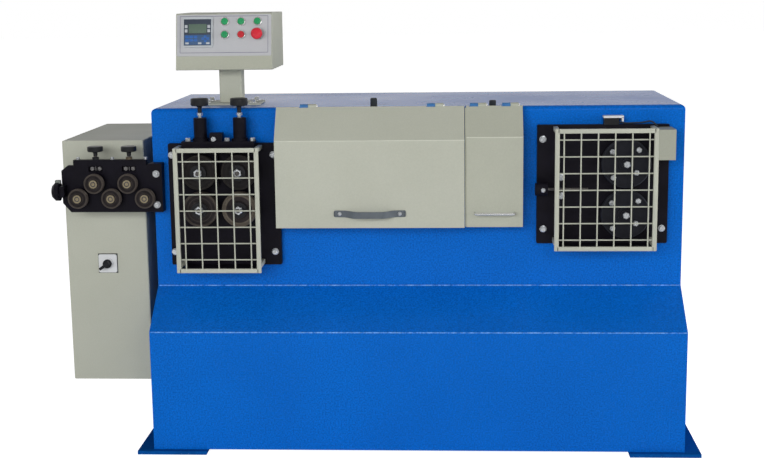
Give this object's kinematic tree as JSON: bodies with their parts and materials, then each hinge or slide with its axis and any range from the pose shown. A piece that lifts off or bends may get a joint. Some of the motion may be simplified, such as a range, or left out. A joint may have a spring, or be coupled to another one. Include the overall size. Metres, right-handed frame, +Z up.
{
  "type": "wire straightening and cutting machine",
  "caption": "Wire straightening and cutting machine: blue stepped body with roller head, guarded feed rolls, hinged cream covers, guarded cutter discs, side cabinet and raised control box.",
  "frame": {"origin": "middle of the footprint on the floor", "axes": "+X along the wire from inlet to cutter, +Y from the front to the back, +Z up"},
  "size_m": [2.065, 0.82, 1.398],
  "materials": {
    "blue_paint": "gloss",
    "cream_paint": "satin",
    "black_oxide": "satin",
    "dark_steel": "ground",
    "bare_steel": "ground",
    "zinc": "satin",
    "bronze": "worn",
    "chrome": "polished",
    "rubber": "matt",
    "black_plastic": "moulded",
    "grey_plastic": "moulded",
    "panel_film": "printed film",
    "display": "gloss",
    "green_plastic": "gloss",
    "red_plastic": "gloss"
  },
  "bodies": {
    "machine": {"cabinet": "blue_paint", "foot_plates": "blue_paint", "electrical_cabinet": "cream_paint", "spacer_rails": "black_oxide", "main_switch_plate": "grey_plastic", "feed_plate": "black_oxide", "pressure_slides": "black_oxide", "feed_bridge": "black_oxide", "spring_housings": "black_oxide", "pressure_screws": "zinc", "pressure_knobs": "black_plastic", "feed_guard": "cream_paint", "head_plate": "black_oxide", "head_top_bar": "black_oxide", "adjusting_screws": "black_plastic", "roller_pins": "bronze", "inlet_guide": "black_oxide", "cutter_plate": "black_oxide", "wire_guide": "black_oxide", "cutter_guard": "cream_paint", "guard_switch_cover": "cream_paint", "guard_switch": "black_plastic", "cover_hinges": "blue_paint", "cover_buffers": "rubber", "control_column": "cream_paint", "control_box": "cream_paint", "control_panel": "panel_film", "display_unit": "display", "start_buttons": "green_plastic", "stop_button": "red_plastic", "emergency_stop": "red_plastic"},
    "main_cover_leaf": {"main_cover": "cream_paint", "main_cover_handle": "black_plastic"},
    "small_cover_leaf": {"small_cover": "cream_paint", "small_cover_handle": "chrome"},
    "main_switch": {"main_switch_handle": "black_plastic"},
    "feed_roll_upper_left_body": {"feed_roll_upper_left": "dark_steel"},
    "feed_roll_upper_right_body": {"feed_roll_upper_right": "dark_steel"},
    "feed_roll_lower_left_body": {"feed_roll_lower_left": "dark_steel"},
    "feed_roll_lower_right_body": {"feed_roll_lower_right": "bare_steel"},
    "straightening_roller_1_body": {"straightening_roller_1": "dark_steel"},
    "straightening_roller_2_body": {"straightening_roller_2": "dark_steel"},
    "straightening_roller_3_body": {"straightening_roller_3": "dark_steel"},
    "straightening_roller_4_body": {"straightening_roller_4": "dark_steel"},
    "straightening_roller_5_body": {"straightening_roller_5": "dark_steel"},
    "cutter_disc_upper_body": {"cutter_disc_upper": "dark_steel"},
    "cutter_disc_lower_body": {"cutter_disc_lower": "dark_steel"}
  },
  "joints": [
    {"name": "main_cover_hinge", "type": "hinge", "parent": "machine", "child": "main_cover_leaf", "pos_m": [-0.0115, -0.241, 1.103], "axis": [-1, 0, 0], "range_deg": [0, 172]},
    {"name": "small_cover_hinge", "type": "hinge", "parent": "machine", "child": "small_cover_leaf", "pos_m": [0.382, -0.241, 1.103], "axis": [-1, 0, 0], "range_deg": [0, 184]},
    {"name": "main_switch_turn", "type": "hinge", "parent": "machine", "child": "main_switch", "pos_m": [-0.8945, -0.19, 0.584], "axis": [0, 1, 0], "range_deg": [0, 90]},
    {"name": "feed_roll_lower_left_spin", "type": "hinge", "parent": "machine", "child": "feed_roll_lower_left_body", "pos_m": [-0.5555, -0.292, 0.7825], "axis": [0, 1, 0], "continuous": true},
    {"name": "feed_roll_lower_right_spin", "type": "hinge", "parent": "machine", "child": "feed_roll_lower_right_body", "pos_m": [-0.4295, -0.292, 0.7825], "axis": [0, 1, 0], "continuous": true},
    {"name": "feed_roll_upper_left_spin", "type": "hinge", "parent": "machine", "child": "feed_roll_upper_left_body", "pos_m": [-0.5555, -0.292, 0.9015], "axis": [0, 1, 0], "continuous": true},
    {"name": "feed_roll_upper_right_spin", "type": "hinge", "parent": "machine", "child": "feed_roll_upper_right_body", "pos_m": [-0.4295, -0.292, 0.9015], "axis": [0, 1, 0], "continuous": true},
    {"name": "straightening_roller_1_spin", "type": "hinge", "parent": "machine", "child": "straightening_roller_1_body", "pos_m": [-0.9525, -0.292, 0.818], "axis": [0, 1, 0], "continuous": true},
    {"name": "straightening_roller_2_spin", "type": "hinge", "parent": "machine", "child": "straightening_roller_2_body", "pos_m": [-0.898, -0.292, 0.866], "axis": [0, 1, 0], "continuous": true},
    {"name": "straightening_roller_3_spin", "type": "hinge", "parent": "machine", "child": "straightening_roller_3_body", "pos_m": [-0.8435, -0.292, 0.818], "axis": [0, 1, 0], "continuous": true},
    {"name": "straightening_roller_4_spin", "type": "hinge", "parent": "machine", "child": "straightening_roller_4_body", "pos_m": [-0.789, -0.292, 0.866], "axis": [0, 1, 0], "continuous": true},
    {"name": "straightening_roller_5_spin", "type": "hinge", "parent": "machine", "child": "straightening_roller_5_body", "pos_m": [-0.7345, -0.292, 0.818], "axis": [0, 1, 0], "continuous": true},
    {"name": "cutter_disc_upper_spin", "type": "hinge", "parent": "machine", "child": "cutter_disc_upper_body", "pos_m": [0.7925, -0.292, 0.9225], "axis": [0, 1, 0], "continuous": true},
    {"name": "cutter_disc_lower_spin", "type": "hinge", "parent": "machine", "child": "cutter_disc_lower_body", "pos_m": [0.7925, -0.292, 0.7615], "axis": [0, 1, 0], "continuous": true}
  ],
  "couplings": [
    {"joint": "feed_roll_lower_right_spin", "follows": "feed_roll_lower_left_spin", "ratio": 1},
    {"joint": "feed_roll_upper_left_spin", "follows": "feed_roll_lower_left_spin", "ratio": -1},
    {"joint": "feed_roll_upper_right_spin", "follows": "feed_roll_lower_left_spin", "ratio": -1},
    {"joint": "cutter_disc_lower_spin", "follows": "cutter_disc_upper_spin", "ratio": -1}
  ]
}
